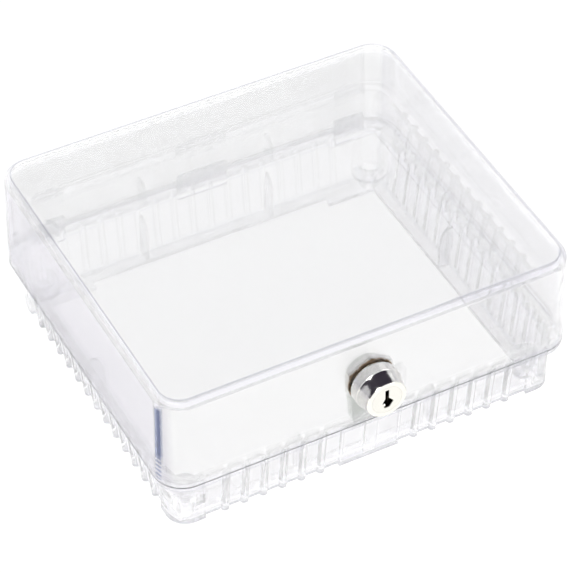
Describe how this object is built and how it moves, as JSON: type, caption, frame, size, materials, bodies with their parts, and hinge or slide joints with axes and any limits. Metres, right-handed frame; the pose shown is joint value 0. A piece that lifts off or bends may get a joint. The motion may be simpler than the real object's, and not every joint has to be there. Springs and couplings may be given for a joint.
{
  "type": "locking thermostat guard",
  "caption": "Clear plastic wall guard: a deep rounded cover hooks on to a ribbed, open-centred base ring and is held shut by a key-operated cam lock in its front wall",
  "frame": {"origin": "centre of the rectangle of four wall-screw holes, on the ring's back (mounting) face", "axes": "+Z away from the wall, out through the cover's top face; -Y towards the lock wall; +Y towards the hooked wall; +X to the right when facing the lock"},
  "size_m": [0.2, 0.1871, 0.0783],
  "materials": {
    "clear_cover": "polished clear polycarbonate",
    "clear_ring": "clear moulded polycarbonate",
    "nickel_plate": "satin nickel plate",
    "pale_nickel": "pale warm nickel plate",
    "wafer_brass": "stamped brass",
    "washer_bronze": "bronzed toothed washer",
    "spring_steel": "bright spring wire",
    "cam_steel": "zinc-plated pressed steel"
  },
  "bodies": {
    "base": {"base_ring": "clear_ring"},
    "cover_body": {"cover": "clear_cover", "lock_housing": "nickel_plate", "spur_washer": "washer_bronze", "mounting_nut": "nickel_plate"},
    "plug_body": {"lock_plug": "pale_nickel", "wafer_1": "wafer_brass", "wafer_2": "wafer_brass", "wafer_3": "wafer_brass", "wafer_4": "wafer_brass", "wafer_5": "wafer_brass", "wafer_spring_1": "spring_steel", "wafer_spring_2": "spring_steel", "wafer_spring_3": "spring_steel", "wafer_spring_4": "spring_steel", "wafer_spring_5": "spring_steel", "stop_washer": "cam_steel", "cam": "cam_steel", "cam_tooth_washer": "cam_steel", "cam_screw": "nickel_plate"}
  },
  "joints": [
    {"name": "cover_hinge", "type": "hinge", "parent": "base", "child": "cover_body", "pos_m": [0, 0.0876, 0.0286], "axis": [-1, 0, 0], "range_deg": [0, 75]},
    {"name": "key_turn", "type": "hinge", "parent": "cover_body", "child": "plug_body", "pos_m": [-0.0018, -0.0875, 0.0512], "axis": [0, -1, 0], "range_deg": [0, 90]}
  ]
}
